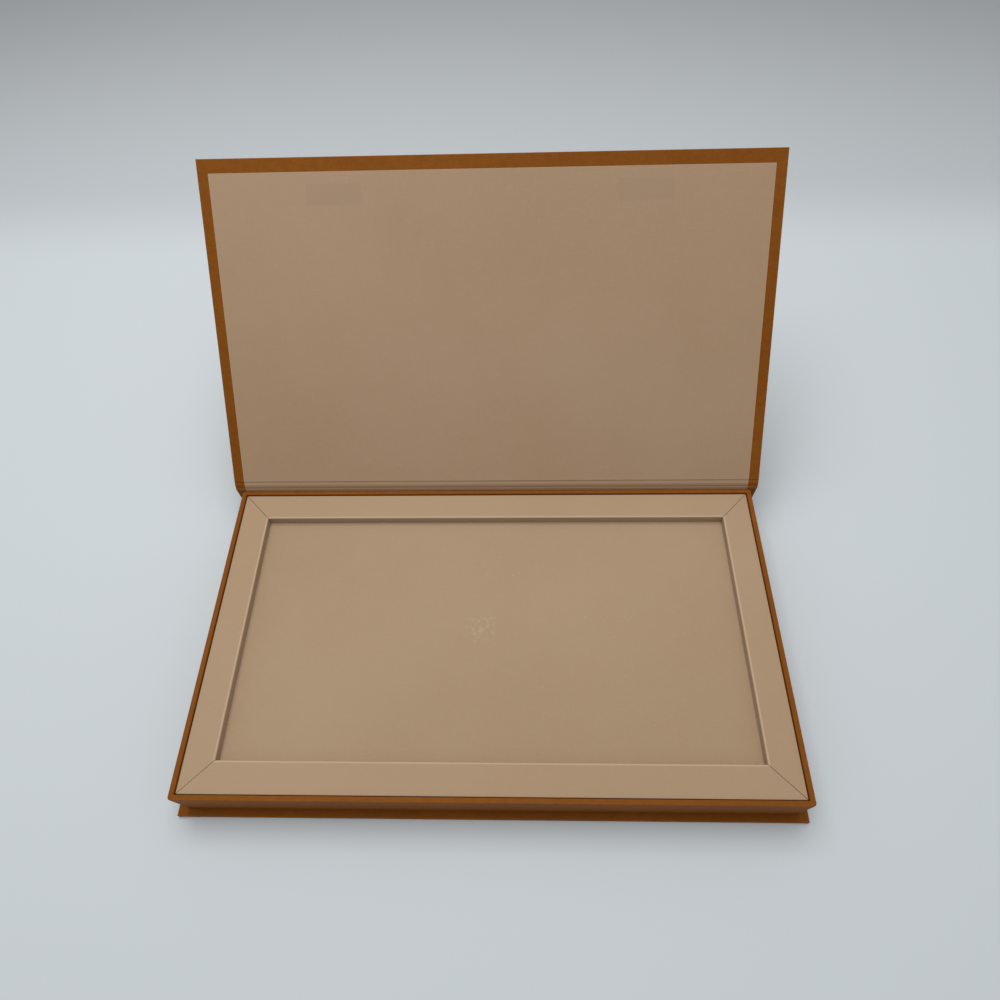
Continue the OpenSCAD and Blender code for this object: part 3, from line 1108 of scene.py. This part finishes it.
def makeHingePapers():
    look = hingeLook
    away = Vector((0, -math.cos(lidTurn), math.sin(lidTurn)))
    inward = Vector((0, -math.sin(lidTurn), -math.cos(lidTurn)))
    lidEdge = hingePoint + (hingePoint.y - lidHigh.y - wrapLook["lidEnd"]) * away
    coverPath = [lidEdge, hingePoint.copy(), acrossHinge(0, -look["spineDrop"])]
    cover = makeStrip("hingeCover", coverPath, caseWidth, coverSheet, -1)
    low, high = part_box("hinge_cover")
    material = coverMaterial("coverPaperHinge", low, high)
    finishHingePaper(cover, material, "hinge_cover")

    # The cover's ends are turned in and follow the groove beside the lining
    under = Vector((0, *look["behind"])) * mm
    turnPath = [lidEdge + (leafThick - liningSheet) * inward]
    turnPath += [acrossHinge(y * mm, z * mm) + under for y, z in look["linerPath"]]
    turnPath += [acrossHinge(liningSheet - leafThick, z * mm + under.z) for z in look["linerEnds"]]
    for side, label in ((-1, "Left"), (1, "Right")):
        middle = side * (caseWidth - look["turnIn"]) / 2
        turned = makeStrip("hingeTurnIn" + label, turnPath, look["turnIn"], coverSheet, 1, middle)
        material = coverMaterial("coverPaperTurnIn" + label, low, high)
        finishHingePaper(turned, material, "hinge_cover")

    linerPath = [lidEdge + leafThick * inward]
    linerPath += [acrossHinge(y * mm, z * mm) for y, z in look["linerPath"]]
    linerPath += [acrossHinge(-leafThick, z * mm) for z in look["linerEnds"]]
    liner = makeStrip("hingeLiner", linerPath, liningWidth, liningSheet, 1)
    # Places the painted shade at the gap behind the tray's back wall
    creviceShade = {**look["creviceShade"], "middle": acrossHinge(look["creviceShade"]["y"], 0)}
    material = liningMaterial("liningPaperHinge", creviceShade=creviceShade)
    finishHingePaper(liner, material, "hinge_liner")


makeLidCover()
makeBaseCover()
makeSpineCover()
makeTrayWrap()
makeRails()
makePanelPaper()
makeLidLining()
makeHingePapers()
print("papers modelled")


# Name, colour and flecks of the cards, by the frame's material slots
cardColours = {
    "greyboard": ("greyBoard", (0.24, 0.22, 0.2, 1.0), (0.34, 0.31, 0.28, 1.0)),
    "filler_card": ("fillerCard", (0.42, 0.33, 0.23, 1.0), (0.52, 0.43, 0.32, 1.0)),
    "rail_card": ("railCard", (0.5, 0.48, 0.45, 1.0), (0.6, 0.58, 0.55, 1.0)),
    "riser_card": ("riserCard", (0.33, 0.22, 0.13, 1.0), (0.42, 0.3, 0.19, 1.0)),
}
spineLiningColours = ("spineLining", (0.4, 0.26, 0.16, 1.0), (0.43, 0.29, 0.18, 1.0))


def dressNode(name, material):
    node = frame["nodes"][name]
    node.data.materials.clear()
    node.data.materials.append(material)


# The boards, cards and plates of the frame keep their shapes
def dressFrame():
    bySlot = {slot: cardMaterial(*colours) for slot, colours in cardColours.items()}
    bySlot["plated_steel"] = plateMaterial()
    for part in frame["record"]["subparts"]:
        if part["material_slot"] in bySlot:
            dressNode(part["node"], bySlot[part["material_slot"]])
    dressNode("spine_liner", cardMaterial(*spineLiningColours))


dressFrame()
print("boards dressed")

# The floor is painted lighter near the box and darker further back: painted light and shade standing in for the
# light's fall-off
stageLook = {
    "near": (0.60, 0.635, 0.655, 1.0),
    "middle": (0.51, 0.535, 0.555, 1.0),
    "far": (0.36, 0.372, 0.38, 1.0),
    "step": (0.34, 0.46),
    "fade": (0.36, 0.95),
    "size": 12.0,
    "roughness": 0.9,
    "specular": 0.1,
    "world": (0.95, 0.98, 1.0, 1.0),
    "worldLight": 0.48,
    "lampHeight": 1.1,
    "lampSize": 0.9,
    "lampPower": 9.1,
    "lampPlace": (-0.12, 0.32),
}


def addStage():
    deselectAll()
    bpy.ops.mesh.primitive_plane_add(size=stageLook["size"], location=(0, 0, cadLow.z))
    floor = bpy.context.object
    floor.name = "floor"
    material, tree, shader = startMaterial("paleTable", stageLook["specular"])
    coords = tree.nodes.new("ShaderNodeTexCoord").outputs["Object"]
    split = tree.nodes.new("ShaderNodeSeparateXYZ")
    tree.links.new(coords, split.inputs[0])
    away = split.outputs["Y"]
    # Painted shade: the floor's colour darkens with distance along y
    base = tint(tree, ramped(tree, away, *stageLook["step"]), stageLook["near"], stageLook["middle"])
    base = tint(tree, ramped(tree, away, *stageLook["fade"]), base, stageLook["far"])
    tree.links.new(base, shader.inputs["Base Color"])
    shader.inputs["Roughness"].default_value = stageLook["roughness"]
    floor.data.materials.append(material)

    world = bpy.data.worlds.new("softRoom")
    world.use_nodes = True
    background = world.node_tree.nodes["Background"]
    background.inputs["Color"].default_value = stageLook["world"]
    background.inputs["Strength"].default_value = stageLook["worldLight"]
    bpy.context.scene.world = world

    x, y = stageLook["lampPlace"]
    bpy.ops.object.light_add(type="AREA", location=(x, y, stageLook["lampHeight"]))
    lamp = bpy.context.object
    lamp.name = "ceilingLight"
    lamp.data.size = stageLook["lampSize"]
    lamp.data.energy = stageLook["lampPower"]


addStage()
print("stage set")
